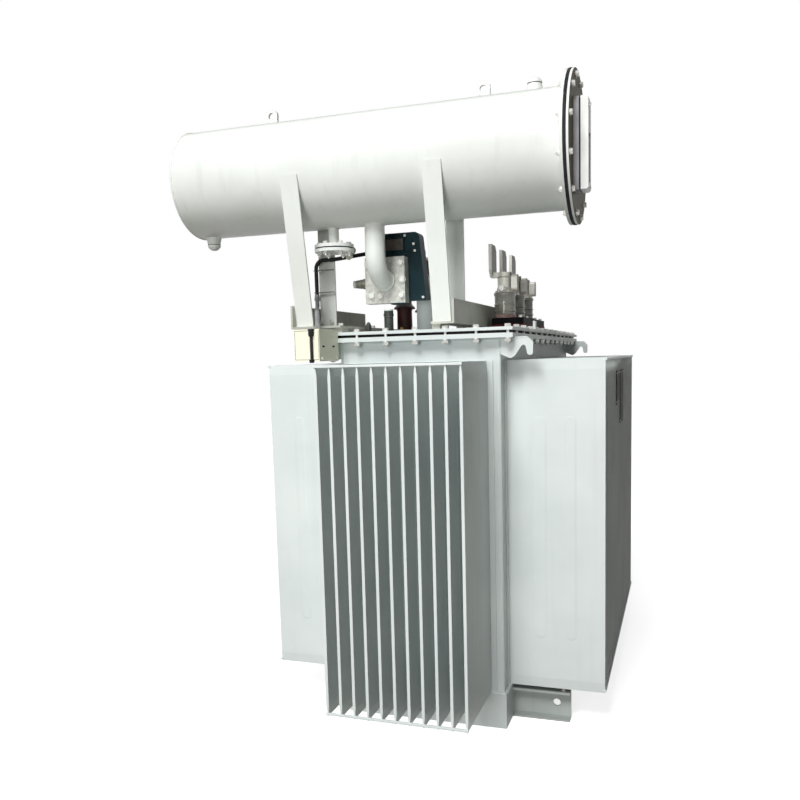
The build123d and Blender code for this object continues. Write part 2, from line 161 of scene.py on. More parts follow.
def plate(mesh, low, high):
    """A flat piece between two corners, in millimetres."""
    centre = [(a + b) / 2 * MM for a, b in zip(low, high)]
    size = [abs(b - a) * MM for a, b in zip(low, high)]
    place = Matrix.Translation(centre) @ Matrix.Diagonal((*size, 1))
    return bmesh.ops.create_cube(mesh, size=1, matrix=place)["verts"]


TURN = {"x": Matrix.Rotation(math.pi / 2, 4, "Y"), "y": Matrix.Rotation(-math.pi / 2, 4, "X"),
        "z": Matrix.Identity(4)}


def round_bar(mesh, start, axis, long, radius, end=None, sides=24):
    """A round bar from a point along an axis, in millimetres. A second radius tapers it."""
    step = TURN[axis] @ Vector((0, 0, long / 2))
    place = Matrix.Translation((Vector(start) + step) * MM) @ TURN[axis]
    near, far = (radius, radius if end is None else end)
    if long < 0:
        near, far = far, near
    return bmesh.ops.create_cone(mesh, cap_ends=True, segments=sides, radius1=near * MM,
                                 radius2=far * MM, depth=abs(long) * MM, matrix=place)["verts"]


def weld_bead(mesh, start, end, radius):
    """A rounded run of weld between two points, in millimetres."""
    run = (Vector(end) - Vector(start)) * MM
    turn = run.to_track_quat("Z", "Y").to_matrix().to_4x4()
    place = Matrix.Translation((Vector(start) + Vector(end)) / 2 * MM) @ turn
    bmesh.ops.create_cone(mesh, cap_ends=True, segments=8, radius1=radius * MM, radius2=radius * MM,
                          depth=run.length, matrix=place)


dress("tank_body", tank_paint)
seams = bmesh.new()
for side_x in (-1, 1):
    for side_y in (-1, 1):
        corner = (side_x * TANK_X, side_y * TANK_Y)
        weld_bead(seams, (*corner, SKIRT_TOP + 2), (*corner, RIM_LOW), 5)
for side in (-1, 1):
    rim_x = side * (TANK_X + 1)
    rim_y = side * (TANK_Y + 1)
    weld_bead(seams, (-TANK_X, rim_y, RIM_LOW - 1), (TANK_X, rim_y, RIM_LOW - 1), 5)
    weld_bead(seams, (rim_x, -TANK_Y, RIM_LOW - 1), (rim_x, TANK_Y, RIM_LOW - 1), 5)
    skirt_x = TANK_X + SHEET
    skirt_y = TANK_Y + SHEET
    weld_bead(seams, (-skirt_x - 1, side * skirt_y, SKIRT_TOP + 1),
              (skirt_x + 1, side * skirt_y, SKIRT_TOP + 1), 4)
    weld_bead(seams, (side * skirt_x, -skirt_y, SKIRT_TOP + 1),
              (side * skirt_x, skirt_y, SKIRT_TOP + 1), 4)
shown("tank_seams", seams, tank_paint)

# Corrugated walls: one long sheet folded back and forth into deep flat fins on each side.
# Each fin is pinched shut at both ends, dimpled down its faces and tied across the tips by bars.
FIN_LOW = 132
FIN_HIGH = 1350
FIN_DEEP = 350
FIN_HALF = 5.5
FIN_PITCH = 50
PINCH = 38
PINCHED_SHARE = 0.27
RIB_LOW = 320
RIB_HIGH = 1148
RIB_RISE = 1.2
RIBS = ((115, 28), (227, 22))
BAR_TALL = 9
BAR_HALF = 4.5
fin_paint = finish_of("fin_paint", shade(228, 235, 233), shade(216, 224, 223), 0.40, streak=0.07)


def folded_fin(mesh, centre, wall):
    """One fin standing out from the wall towards the front: a thin box, pinched and rounded."""
    tip = wall + FIN_DEEP
    verts = plate(mesh, (centre - FIN_HALF, -tip, FIN_LOW), (centre + FIN_HALF, -wall + 2, FIN_HIGH))
    faces = {f for v in verts for f in v.link_faces}
    edges = {e for v in verts for e in v.link_edges}
    for height in (FIN_LOW + PINCH, FIN_HIGH - PINCH):
        cut = bmesh.ops.bisect_plane(mesh, geom=list(faces) + list(edges) + list(verts),
                                     plane_co=(0, 0, height * MM), plane_no=(0, 0, 1))
        fresh = [g for g in cut["geom_cut"] if isinstance(g, bmesh.types.BMVert)]
        verts = list(set(verts) | set(fresh))
        faces = {f for v in verts for f in v.link_faces}
        edges = {e for v in verts for e in v.link_edges}
    for v in verts:
        if v.co.z < (FIN_LOW + 1) * MM or v.co.z > (FIN_HIGH - 1) * MM:
            v.co.x = (centre + (v.co.x / MM - centre) * PINCHED_SHARE) * MM
    front = [e for e in edges if all(v.co.y < (-tip + 1) * MM for v in e.verts)
             and abs(e.verts[0].co.z - e.verts[1].co.z) > 0.01]
    bmesh.ops.bevel(mesh, geom=front, offset=0.0035, offset_type="OFFSET", segments=3, profile=0.5,
                    affect="EDGES", material=-1, clamp_overlap=True)


def pressed_rib(mesh, x, y, wide, side):
    """A shallow rib pressed down the face of a fin: flat topped, with sloping sides and round ends."""
    out = side * RIB_RISE
    verts = plate(mesh, (x, y - wide, RIB_LOW + wide), (x + out, y + wide, RIB_HIGH - wide))
    for v in verts:
        if (v.co.x / MM - x) * side > RIB_RISE / 2:
            v.co.y = (y + (v.co.y / MM - y) * 0.72) * MM
    for z in (RIB_LOW + wide, RIB_HIGH - wide):
        round_bar(mesh, (x, y, z), "x", out * 0.9, wide, wide * 0.75, sides=20)


def fin_wall(name, node, count, wall, turn):
    """The whole bank for one side, turned to face it and put in the solid's place."""
    bank = bmesh.new()
    span = (count - 1) * FIN_PITCH
    edge = span / 2 + FIN_PITCH / 2
    plate(bank, (-edge, -wall, FIN_LOW), (edge, -wall + SHEET, FIN_HIGH))
    for i in range(count):
        centre = i * FIN_PITCH - span / 2
        folded_fin(bank, centre, wall)
        for side in (-1, 1):
            for deep, wide in RIBS:
                pressed_rib(bank, centre + side * FIN_HALF, -wall - deep, wide, side)
    for low in (FIN_LOW + 4, FIN_HIGH - BAR_TALL):
        bar = plate(bank, (-span / 2 - FIN_HALF, -wall - FIN_DEEP - BAR_HALF, low),
                    (span / 2 + FIN_HALF, -wall - FIN_DEEP + BAR_HALF, low + BAR_TALL))
        corner = {e for v in bar for e in v.link_edges if abs(e.verts[0].co.x - e.verts[1].co.x) > 0.05}
        bmesh.ops.bevel(bank, geom=list(corner), offset=0.0018, offset_type="OFFSET", segments=2,
                        profile=0.5, affect="EDGES", material=-1)
    bmesh.ops.rotate(bank, verts=bank.verts, cent=(0, 0, 0), matrix=Matrix.Rotation(turn, 3, "Z"))
    piece = shown(name, bank, fin_paint)
    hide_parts(node)
    return piece


END_FINS = 11
SIDE_FINS = 31
fin_wall("front_fin_wall", "front_fins", END_FINS, TANK_Y + SHEET, 0)
fin_wall("rear_fin_wall", "rear_fins", END_FINS, TANK_Y + SHEET, math.pi)
fin_wall("right_fin_wall", "right_fins", SIDE_FINS, TANK_X + SHEET, math.pi / 2)
fin_wall("left_fin_wall", "left_fins", SIDE_FINS, TANK_X + SHEET, -math.pi / 2)

# Seal and cover: a black rubber frame lies on the rim and a flat steel cover is bolted down on it.
# The bolts run through the edge of both plates with a washer and a nut on each side.
RIM_X = 355
RIM_Y = 892
COVER_TOP = 1466
BOLT_IN = 12
END_BOLTS = 7
END_PITCH = 112
SIDE_BOLTS = 12
SIDE_PITCH = 138
seal_rubber = finish_of("seal_rubber", shade(26, 26, 27), shade(14, 14, 15), 0.7, drift=20, peel=0.25)
zinc = finish_of("zinc_plate", shade(228, 228, 224), shade(196, 196, 190), 0.3, metal=0.3, drift=60,
                 peel=0.1, shine=0.5)
dress("cover_gasket", seal_rubber)
dress("tank_cover", tank_paint)


def hexagon(mesh, place, axis, flats, high, washer=0.0, point=0.0):
    """A hexagon head or nut standing on a face, on a round washer, with an optional thread end."""
    sign = 1 if high > 0 else -1
    across = flats / math.cos(math.pi / 6) / 2
    start = Vector(place)
    step = TURN[axis] @ Vector((0, 0, 1))
    if washer:
        round_bar(mesh, start, axis, sign * 2.5, washer, sides=20)
        start = start + step * sign * 2.5
    head = round_bar(mesh, start, axis, high, across, sides=6)
    top = start + step * high
    rim = {e for v in head for e in v.link_edges
           if all(((w.co / MM - top).dot(step)) ** 2 < 0.01 for w in e.verts)}
    bmesh.ops.bevel(mesh, geom=list(rim), offset=flats * 0.07 * MM, offset_type="OFFSET", segments=1,
                    profile=0.5, affect="EDGES", material=-1)
    if point:
        round_bar(mesh, top, axis, sign * point, flats * 0.27, flats * 0.24, sides=14)


cover_bolts = bmesh.new()
bolt_places = []
for i in range(END_BOLTS):
    for side in (-1, 1):
        bolt_places.append(((i - (END_BOLTS - 1) / 2) * END_PITCH, side * (RIM_Y - BOLT_IN)))
for i in range(SIDE_BOLTS):
    for side in (-1, 1):
        bolt_places.append((side * (RIM_X - BOLT_IN), (i - (SIDE_BOLTS - 1) / 2) * SIDE_PITCH))
for x, y in bolt_places:
    round_bar(cover_bolts, (x, y, 1440), "z", 30, 5, sides=12)
    hexagon(cover_bolts, (x, y, COVER_TOP), "z", 19, 8, washer=12)
    hexagon(cover_bolts, (x, y, RIM_LOW), "z", 21, -13, washer=12, point=4)
shown("cover_bolts", cover_bolts, zinc)

# Lifting hooks: thick plates welded flat across the corners of the tank, open below for a sling.
# Each has one weld down its root and one under the rim.
HOOK_LOW = 1373
HOOK_TIP = 398
hook_welds = bmesh.new()
for side_x in (-1, 1):
    for side_y, end in ((-1, "front"), (1, "rear")):
        dress("lift_hook_" + end + ("_right" if side_x > 0 else "_left"), tank_paint)
        root = (side_x * (TANK_X + 1), side_y * (TANK_Y + SHEET))
        weld_bead(hook_welds, (*root, HOOK_LOW), (*root, RIM_LOW - 2), 3.5)
        face_y = side_y * (TANK_Y + 5)
        start = (side_x * (TANK_X + 7), face_y, RIM_LOW - 1)
        weld_bead(hook_welds, start, (side_x * HOOK_TIP, face_y, RIM_LOW - 1), 3)
shown("hook_welds", hook_welds, tank_paint)

# Base channels: short lengths of rolled channel welded to the skirt, for hauling and holding down.
# Their spray is painted darker for the shade under the fins, with runs of dirt, and a small bolt stands in
# each top flange.
channel_detail = bmesh.new()
# Painted shade: the channels' spray is darker than the tank's, with runs of dirt on it.
foot_paint_shade_and_dirt = finish_of("foot_paint_shade_and_dirt", shade(186, 192, 190), shade(160, 166, 162), 0.5, streak=0.2)
for side in (-1, 1):
    dress("base_channel_" + ("front" if side < 0 else "rear"), foot_paint_shade_and_dirt)
    hexagon(channel_detail, (500, side * 722, 112), "z", 13, 6, washer=8)
    weld_bead(channel_detail, (312, side * 694, 4), (312, side * 694, 110), 3.5)
shown("channel_bolts", channel_detail, zinc)

# Conservator: the oil drum, a rolled shell with a flat end welded in on the left.
# A flat ring is welded round its open right end, and its pipes and lifting curls are welded on too.
DRUM_Y = -650
DRUM_Z = 2089
DRUM_R = 210
FEED_X = -228
BRANCH_X = -400
FILLER_X = 397
DRAIN_X = -939
drum_paint = finish_of("drum_paint", shade(236, 240, 236), shade(222, 226, 220), 0.36, streak=0.12)


def shade_by_facing(made, side, start, full, colour):
    """Paints shade over the faces of a material that look along one axis."""
    nodes = made.node_tree.nodes
    links = made.node_tree.links
    shader = nodes["Principled BSDF"]
    before = shader.inputs["Base Color"].links[0].from_socket
    place = nodes.new("ShaderNodeTexCoord")
    split = nodes.new("ShaderNodeSeparateXYZ")
    links.new(place.outputs["Normal"], split.inputs["Vector"])
    facing = nodes.new("ShaderNodeMapRange")
    facing.inputs["From Min"].default_value = start
    facing.inputs["From Max"].default_value = full
    links.new(split.outputs[side], facing.inputs["Value"])
    laid = nodes.new("ShaderNodeMix")
    laid.data_type = "RGBA"
    laid.inputs["B"].default_value = colour
    links.new(before, laid.inputs["A"])
    links.new(facing.outputs["Result"], laid.inputs["Factor"])
    links.new(laid.outputs["Result"], shader.inputs["Base Color"])


# Painted shade: the drum's faces that look up are darkened to hold down the top's brightness.
shade_by_facing(drum_paint, "Z", 0.84, 0.96, shade(172, 174, 168))
dress("conservator_shell", drum_paint)
dress("conservator_left_end", drum_paint)


def ring_bead(mesh, x, y, z, axis, ring, bead):
    """A run of weld right round a pipe or drum, in millimetres."""
    turn = TURN[axis]
    middle = Vector((x, y, z)) * MM
    spot = turn @ Vector((ring * MM, 0, 0))
    face = bmesh.ops.create_circle(mesh, cap_ends=False, segments=8, radius=bead * MM,
                                   matrix=Matrix.Translation(middle + spot) @ turn
                                   @ Matrix.Rotation(math.pi / 2, 4, "X"))
    edges = {e for v in face["verts"] for e in v.link_edges}
    bmesh.ops.spin(mesh, geom=list(face["verts"]) + list(edges), cent=middle,
                   axis=turn @ Vector((0, 0, 1)), angle=2 * math.pi, steps=48, use_merge=True)


drum_welds = bmesh.new()
ring_bead(drum_welds, -990, DRUM_Y, DRUM_Z, "x", DRUM_R - 0.5, 3.5)
ring_bead(drum_welds, 517, DRUM_Y, DRUM_Z, "x", DRUM_R + 1, 4)
ring_bead(drum_welds, FEED_X, DRUM_Y, 1882, "z", 40, 4)
ring_bead(drum_welds, BRANCH_X, DRUM_Y, 1880, "z", 21, 3)
ring_bead(drum_welds, FILLER_X, DRUM_Y, 2298, "z", 25, 3)
ring_bead(drum_welds, DRAIN_X, DRUM_Y, 1880, "z", 25, 3)
ring_bead(drum_welds, FEED_X, -556, 1678, "y", 40, 3.5)
shown("drum_welds", drum_welds, drum_paint)

# Filler cap and drain plug: domed screw caps on tapered necks welded to the drum.
# Each cap has a dark seal line under it.
CAP_PROFILE = ((0, 28), (26.2, 28), (26.6, 31), (24, 38), (16, 46), (10.6, 49.2), (5, 50), (0, 50))
fittings = bmesh.new()
seal_lines = bmesh.new()
for x, z, up in ((FILLER_X, 2299, 1), (DRAIN_X, 1879, -1)):
    turned = []
    for r, h in CAP_PROFILE:
        turned.append((x + r, z + up * h))
    points = [fittings.verts.new((px * MM, DRUM_Y * MM, pz * MM)) for px, pz in turned]
    edges = [fittings.edges.new(pair) for pair in zip(points, points[1:])]
    bmesh.ops.spin(fittings, geom=points + edges, cent=(x * MM, DRUM_Y * MM, 0), axis=(0, 0, 1),
                   angle=2 * math.pi, steps=36, use_merge=True)
    round_bar(seal_lines, (x, DRUM_Y, z + up * 25.5), "z", up * 3, 25.9, 25.9, sides=36)
bmesh.ops.remove_doubles(fittings, verts=fittings.verts, dist=0.00001)
shown("neck_caps", fittings, drum_paint)
shown("neck_seals", seal_lines, seal_rubber)

# Drum end: a thick black rubber ring and a flat steel cover bolted through the drum's ring.
# The cover's rim is sprayed with the drum, and its face carries painted shade in a dark olive, with little
# sheen.
END_BOLT_R = 240
END_BOLT_COUNT = 12
LIP_PROFILE = ((259, 528.5), (262.6, 528.5), (263.4, 531), (263.4, 538), (262.6, 540.5), (259, 540.5))
dress("conservator_gasket", seal_rubber)
seal_lip = bmesh.new()
points = [seal_lip.verts.new((x * MM, DRUM_Y * MM, (DRUM_Z + r) * MM)) for r, x in LIP_PROFILE]
edges = [seal_lip.edges.new(pair) for pair in zip(points, points[1:] + points[:1])]
bmesh.ops.spin(seal_lip, geom=points + edges, cent=(0, DRUM_Y * MM, DRUM_Z * MM), axis=(1, 0, 0),
               angle=2 * math.pi, steps=96, use_merge=True)
shown("conservator_seal_lip", seal_lip, seal_rubber)


def spray_with_shaded_face(name, rim_light, rim_dark, face_light, face_dark, face_at):
    """The drum's spray with painted shade in a second, darker colour on everything beyond one upright plane.
    """
    made = finish_of(name, rim_light, rim_dark, 0.45)
    nodes = made.node_tree.nodes
    links = made.node_tree.links
    shader = nodes["Principled BSDF"]
    before = shader.inputs["Base Color"].links[0].from_socket
    place = nodes.new("ShaderNodeTexCoord")
    split = nodes.new("ShaderNodeSeparateXYZ")
    links.new(place.outputs["Object"], split.inputs["Vector"])
    beyond = nodes.new("ShaderNodeMath")
    beyond.operation = "GREATER_THAN"
    beyond.inputs[1].default_value = face_at * MM
    links.new(split.outputs["X"], beyond.inputs[0])
    cloud = nodes.new("ShaderNodeTexNoise")
    cloud.inputs["Scale"].default_value = 7
    cloud.inputs["Detail"].default_value = 5
    links.new(place.outputs["Object"], cloud.inputs["Vector"])
    face = nodes.new("ShaderNodeMix")
    face.data_type = "RGBA"
    face.inputs["A"].default_value = face_light
    face.inputs["B"].default_value = face_dark
    links.new(cloud.outputs["Fac"], face.inputs["Factor"])
    both = nodes.new("ShaderNodeMix")
    both.data_type = "RGBA"
    links.new(beyond.outputs["Value"], both.inputs["Factor"])
    links.new(before, both.inputs["A"])
    links.new(face.outputs["Result"], both.inputs["B"])
    links.new(both.outputs["Result"], shader.inputs["Base Color"])
    dull = nodes.new("ShaderNodeMapRange")
    dull.inputs["To Min"].default_value = 0.25
    dull.inputs["To Max"].default_value = 0.03
    links.new(beyond.outputs["Value"], dull.inputs["Value"])
    links.new(dull.outputs["Result"], shader.inputs["Specular IOR Level"])
    return made


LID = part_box("conservator_end_cover")[1][0] / MM
# Painted shade: the cover's face, which looks away from the lamps, is coloured a dark olive.
cover_paint_shaded_face = spray_with_shaded_face("cover_paint_shaded_face", shade(240, 243, 240), shade(226, 230, 226),
                          shade(104, 99, 80), shade(82, 77, 60), LID - 0.6)
dress("conservator_end_cover", cover_paint_shaded_face)
end_bolts = bmesh.new()
for i in range(END_BOLT_COUNT):
    turn = (i + 0.5) * 2 * math.pi / END_BOLT_COUNT
    y = DRUM_Y + END_BOLT_R * math.sin(turn)
    z = DRUM_Z + END_BOLT_R * math.cos(turn)
    hexagon(end_bolts, (LID, y, z), "x", 18, 8, washer=12)
    hexagon(end_bolts, (518, y, z), "x", 18, -9, washer=12, point=4)
shown("drum_end_bolts", end_bolts, zinc)

# Level gauge: a flat steel box on the cover's face with a narrow neck in painted shade and a white front.
# A red float rod stands in its dark window, with plain scale marks beside it.
WINDOW_WIDE = 11
WINDOW_TALL = 128
MARK_PITCH = 23
gauge_steel = finish_of("gauge_steel", shade(206, 206, 212), shade(170, 170, 174), 0.45, drift=9)
# Painted shade: the neck between the box and the white front is coloured near black for the gap's shadow.
gauge_gap_shade = finish_of("gauge_gap_shade", shade(38, 40, 44), shade(26, 28, 32), 0.5, drift=20)
gauge_white = finish_of("gauge_white", shade(246, 247, 246), shade(234, 236, 234), 0.3, drift=20)
window_dark = finish_of("window_dark", shade(34, 40, 42), shade(20, 24, 26), 0.12, drift=12, peel=0.03)
float_red = finish_of("float_red", shade(128, 42, 46), shade(104, 30, 34), 0.45, drift=25)
dress("level_gauge_body", gauge_steel)
dress("level_gauge_glass", gauge_white)
low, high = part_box("level_gauge_glass")
face_x = high[0] / MM
gauge_y = (low[1] + high[1]) / 2 / MM
gauge_z = (low[2] + high[2]) / 2 / MM
neck = bmesh.new()
plate(neck, (low[0] / MM - 6, low[1] / MM + 5, low[2] / MM + 5),
      (low[0] / MM, high[1] / MM - 5, high[2] / MM - 5))
shown("gauge_neck_shade_strip", neck, gauge_gap_shade)
window = bmesh.new()
plate(window, (face_x - 0.5, gauge_y - WINDOW_WIDE, gauge_z - WINDOW_TALL),
      (face_x + 0.8, gauge_y + WINDOW_WIDE, gauge_z + WINDOW_TALL))
shown("gauge_window", window, window_dark)
rod = bmesh.new()
round_bar(rod, (face_x, gauge_y, gauge_z - 125), "z", 150, 1.6, sides=12)
round_bar(rod, (face_x, gauge_y, gauge_z + 25), "z", 12, 2.6, sides=16)
shown("gauge_rod", rod, float_red)
marks = bmesh.new()
for i in range(11):
    long = 12 if i % 5 == 0 else 7
    z = gauge_z - 5 * MARK_PITCH + MARK_PITCH * i
    plate(marks, (face_x - 0.5, gauge_y + 14, z - 0.8), (face_x + 0.4, gauge_y + 14 + long, z + 0.8))
shown("gauge_marks", marks, window_dark)
screws = bmesh.new()
for y in (-26, 26):
    for z in (-140, 140):
        hexagon(screws, (face_x, gauge_y + y, gauge_z + z), "x", 8, 3)
round_bar(screws, (face_x - 3, gauge_y - 30, gauge_z + 122), "x", 12, 5, 1.5, sides=16)
shown("gauge_screws", screws, zinc)

# Beams and legs: hot rolled angles that stand the drum on the tank cover.
# The legs are welded and bolted to the beams and sprayed with the drum, and the beams are duller.
BEAM_TOP = 1496
for node in ("front_left_leg", "front_right_leg", "rear_left_leg", "rear_right_leg"):
    dress(node, drum_paint)
beam_paint = finish_of("beam_paint", shade(204, 204, 194), shade(172, 172, 162), 0.5, drift=5, streak=0.15)
for node in ("left_beam", "right_beam"):
    dress(node, beam_paint)
leg_bolts = bmesh.new()
for x, y, z in ((-503, -560, 1521), (-460, -560, 1521), (50, -560, 1521), (86, -560, 1521)):
    hexagon(leg_bolts, (x, y, z), "y", 17, -8, washer=11)
for x in (-330, 44):
    for y in (-755, -412, -65):
        hexagon(leg_bolts, (x - 8 if x < 0 else x + 8, y, BEAM_TOP), "z", 17, 8, washer=11)
shown("leg_bolts", leg_bolts, zinc)
leg_welds = bmesh.new()
for start, y in ((-520, -766), (33, -766), (-510, -551), (33, -551)):
    weld_bead(leg_welds, (start, y, BEAM_TOP + 2), (start + 70, y, BEAM_TOP + 2), 4)
shown("leg_welds", leg_welds, drum_paint)

# Spare branch: a short pipe under the drum, shut off by a blank flange on six bolts.
# A thin seal shows between the two discs, and a cast clamp for the cable hangs beside them.
BRANCH_BOLT_R = 58
dress("spare_branch_blank", drum_paint)
dress("spare_branch_seal", seal_rubber)
branch_bolts = bmesh.new()
for i in range(6):
    turn = i * math.pi / 3 + 0.3
    x = BRANCH_X + BRANCH_BOLT_R * math.cos(turn)
    y = DRUM_Y + BRANCH_BOLT_R * math.sin(turn)
    hexagon(branch_bolts, (x, y, 1816), "z", 17, 8, washer=10)
    hexagon(branch_bolts, (x, y, 1787), "z", 17, -8, washer=10, point=5)
shown("branch_bolts", branch_bolts, zinc)
clamp = bmesh.new()
round_bar(clamp, (-352, -596, 1800), "y", 18, 15, 15, sides=28)
round_bar(clamp, (-352, -600, 1800), "y", 26, 9, 9, sides=20)
plate(clamp, (-392, -592, 1793), (-352, -582, 1807))
round_bar(clamp, (-352, -590, 1770), "z", 34, 6, 6, sides=16)
hexagon(clamp, (-352, -590, 1812), "z", 13, 9, washer=9)
round_bar(clamp, (-366, -592, 1774), "y", 10, 11, 11, sides=24)
clamp_cast = finish_of("clamp_cast", shade(190, 192, 176), shade(140, 142, 126), 0.4, metal=0.2, drift=70)
soft_edges(shown("branch_clamp", clamp, clamp_cast), 0.001)

# Gas relay: a square machined flange of bare speckled casting, bolted to the feed pipe.
# Behind it stands the dark sprayed housing with a framed sight window, and a bare plug at its side.
FLANGE_BOLTS = ((-299, 1744), (-158, 1744), (-153, 1678), (-157, 1617), (-246, 1617), (-283, 1619))
HOUSING_SCREWS = ((-155, 1855), (-119, 1820), (-114, 1793), (-84, 1608), (-250, 1855), (-250, 1793))
WINDOW_FRAME = (((-241, 1794), (-158, 1799)), ((-241, 1843), (-158, 1848)),
                ((-241, 1799), (-236, 1843)), ((-163, 1799), (-158, 1843)))
PLUG_Y = -525
PLUG_Z = 1670
flange_cast = finish_of("flange_cast", shade(208, 209, 202), shade(176, 177, 170), 0.5, metal=0.1, drift=60,
                        grain=500, peel=0.5)
relay_dark = finish_of("relay_dark", shade(20, 50, 56), shade(10, 28, 34), 0.45, drift=9, shine=0.12)
dress("relay_front_flange", flange_cast)
dress("gas_relay", relay_dark)
relay_bolts = bmesh.new()
for x, z in FLANGE_BOLTS:
    hexagon(relay_bolts, (x, -550, z), "y", 22, -10, washer=14)
for x, z in HOUSING_SCREWS:
    round_bar(relay_bolts, (x, -500, z), "y", -4, 5, sides=16)
shown("relay_bolts", relay_bolts, zinc)
sight = bmesh.new()
plate(sight, (-236, -506, 1799), (-163, -499, 1843))
sight_brown = finish_of("sight_brown", shade(96, 88, 82), shade(70, 64, 60), 0.4, drift=30, shine=0.15)
shown("relay_window", sight, sight_brown)
under = bmesh.new()
plate(under, (-205, -548, 1581), (-146, -500, 1587))
shown("relay_foot_plate", under, relay_dark)
relay_trim = bmesh.new()
plate(relay_trim, (-246, -503, 1786), (-128, -499, 1791))
for low, high in WINDOW_FRAME:
    plate(relay_trim, (low[0], -508, low[1]), (high[0], -500, high[1]))
soft_edges(shown("relay_window_frame", relay_trim, relay_dark), 0.001)
valve = bmesh.new()
for x, long, near, far in ((-312, -16, 23, 21), (-328, -4, 17, 17), (-332, -26, 19, 16), (-358, -11, 16, 9)):
    round_bar(valve, (x, PLUG_Y, PLUG_Z), "x", long, near, far, sides=28)
plug_metal = finish_of("plug_metal", shade(150, 148, 136), shade(118, 116, 106), 0.42, metal=0.4, drift=50)
soft_edges(shown("relay_side_plug", valve, plug_metal), 0.0015)

# Thermometer pocket: a dark sprayed tube standing in the cover, with a foot ring and a collar.
# A rounded cap is screwed over its top.
POCKET = ((1466, 6, 24, 24), (1472, 62, 18.6, 18.6), (1534, 10, 20.5, 20.5), (1544, 12, 19, 18.8),
          (1556, 7.4, 18.8, 11))
pocket_dark = finish_of("pocket_dark", shade(66, 70, 66), shade(44, 48, 44), 0.4, drift=30, shine=0.3)
pocket_tube = bmesh.new()
for low, long, wide, top in POCKET:
    round_bar(pocket_tube, (-212, -560, low), "z", long, wide, top, sides=32)
soft_edges(shown("thermometer_tube", pocket_tube, pocket_dark), 0.0012)

# Dome plug: a small dark plug screwed into the cover in front of the relay.
# It has a hexagon foot on a washer, and its top is rounded over.
DOME = ((1476, 18, 12.5, 12.5), (1494, 9, 12.5, 10.5), (1503, 8, 10.5, 6.5), (1511, 4, 6.5, 1.5))
dome = bmesh.new()
hexagon(dome, (-300, -560, COVER_TOP), "z", 26, 8, washer=15)
for low, long, wide, top in DOME:
    round_bar(dome, (-300, -560, low), "z", long, wide, top, sides=28)
shown("cover_dome_plug", dome, pocket_dark)

# High voltage bushings: brown glazed porcelain turned with three rain sheds.
# A cast ring under three bolts holds each one down, and brass nuts lock its tinned stem.
HV_X = -255
HV_FIRST = -230
HV_PITCH = 300
HV_FOOT = 1490
SHEDS = (92, 180, 262)
porcelain = finish_of("brown_glaze", shade(66, 34, 32), shade(34, 16, 14), 0.12, drift=18, grain=120,
                      peel=0.05)
tinned = finish_of("tinned_metal", shade(214, 210, 200), shade(176, 172, 160), 0.42, metal=0.15, drift=45,
                   grain=400)
# Painted highlight and shade: the low voltage terminals' tin is near white, and darkened on faces that look
# right.
terminal_tin_lit_shaded = finish_of("terminal_tin_lit_shaded", shade(250, 247, 238), shade(250, 247, 238), 0.42, metal=0.15,
                         drift=45, grain=400)
shade_by_facing(terminal_tin_lit_shaded, "X", 0.6, 0.97, shade(84, 80, 72))
brass = finish_of("dull_brass", shade(176, 138, 84), shade(132, 98, 56), 0.35, metal=0.9, drift=45)


def turned_glaze(mesh, x, y, profile, steps=40):
    """A solid turned about the upright through x and y, from radius and height pairs."""
    points = [mesh.verts.new(((x + r) * MM, y * MM, z * MM)) for r, z in profile]
    edges = [mesh.edges.new(pair) for pair in zip(points, points[1:])]
    bmesh.ops.spin(mesh, geom=points + edges, cent=(x * MM, y * MM, 0), axis=(0, 0, 1),
                   angle=2 * math.pi, steps=steps, use_merge=True)
    bmesh.ops.remove_doubles(mesh, verts=mesh.verts, dist=0.00001)


def smooth(piece):
    """Shades a turned piece as one smooth skin, sharp only at its real corners."""
    for face in piece.data.polygons:
        face.use_smooth = True
    piece.data.set_sharp_from_angle(angle=math.radians(42))
    return piece


for i in range(3):
    y = HV_FIRST + HV_PITCH * i
    skin = bmesh.new()
    profile = [(0, HV_FOOT), (33, HV_FOOT), (34, HV_FOOT + 4)]
    for shed in SHEDS:
        z = HV_FOOT + shed
        profile += [(33, z - 14), (35, z - 6), (46, z - 4), (47.6, z), (46.5, z + 4), (38, z + 12),
                    (33, z + 20)]
    profile += [(32, HV_FOOT + 312), (29, HV_FOOT + 322), (22, HV_FOOT + 329), (0, HV_FOOT + 330)]
    turned_glaze(skin, HV_X, y, profile)
    piece = smooth(shown("hv_glaze_" + str(i + 1), skin, porcelain))
    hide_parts("hv_bushing_" + str(i + 1))
    dress("hv_terminal_" + str(i + 1), tinned)
    fixings = bmesh.new()
    for k in range(3):
        turn = k * 2 * math.pi / 3 + 0.5
        at_x = HV_X + 41 * math.cos(turn)
        at_y = y + 41 * math.sin(turn)
        hexagon(fixings, (at_x, at_y, HV_FOOT), "z", 13, 7, washer=8.5)
    for z in (1834, 1848):
        hexagon(fixings, (HV_X, y, z), "z", 22, 9, washer=0)
    shown("hv_fixings_" + str(i + 1), fixings, brass)

# Riser: the pipe that takes oil down from the relay into the cover.
# It has a bolted flange at the relay and another at its foot.
RISER_X = -140
RISER_Y = -285
RISER_HIGH = 1678
FOOT_R = 44
HEAD_R = 51
riser_bolts = bmesh.new()
for k in range(4):
    turn = (k + 0.5) * math.pi / 2
    foot = (RISER_X + FOOT_R * math.cos(turn), RISER_Y + FOOT_R * math.sin(turn), 1478)
    hexagon(riser_bolts, foot, "z", 13, 7)
    head = (RISER_X + HEAD_R * math.cos(turn), -426, RISER_HIGH + HEAD_R * math.sin(turn))
    hexagon(riser_bolts, head, "y", 13, 7, washer=8)
shown("riser_bolts", riser_bolts, zinc)
riser_welds = bmesh.new()
ring_bead(riser_welds, RISER_X, RISER_Y, 1478.5, "z", 40, 4)
shown("riser_welds", riser_welds, tank_paint)
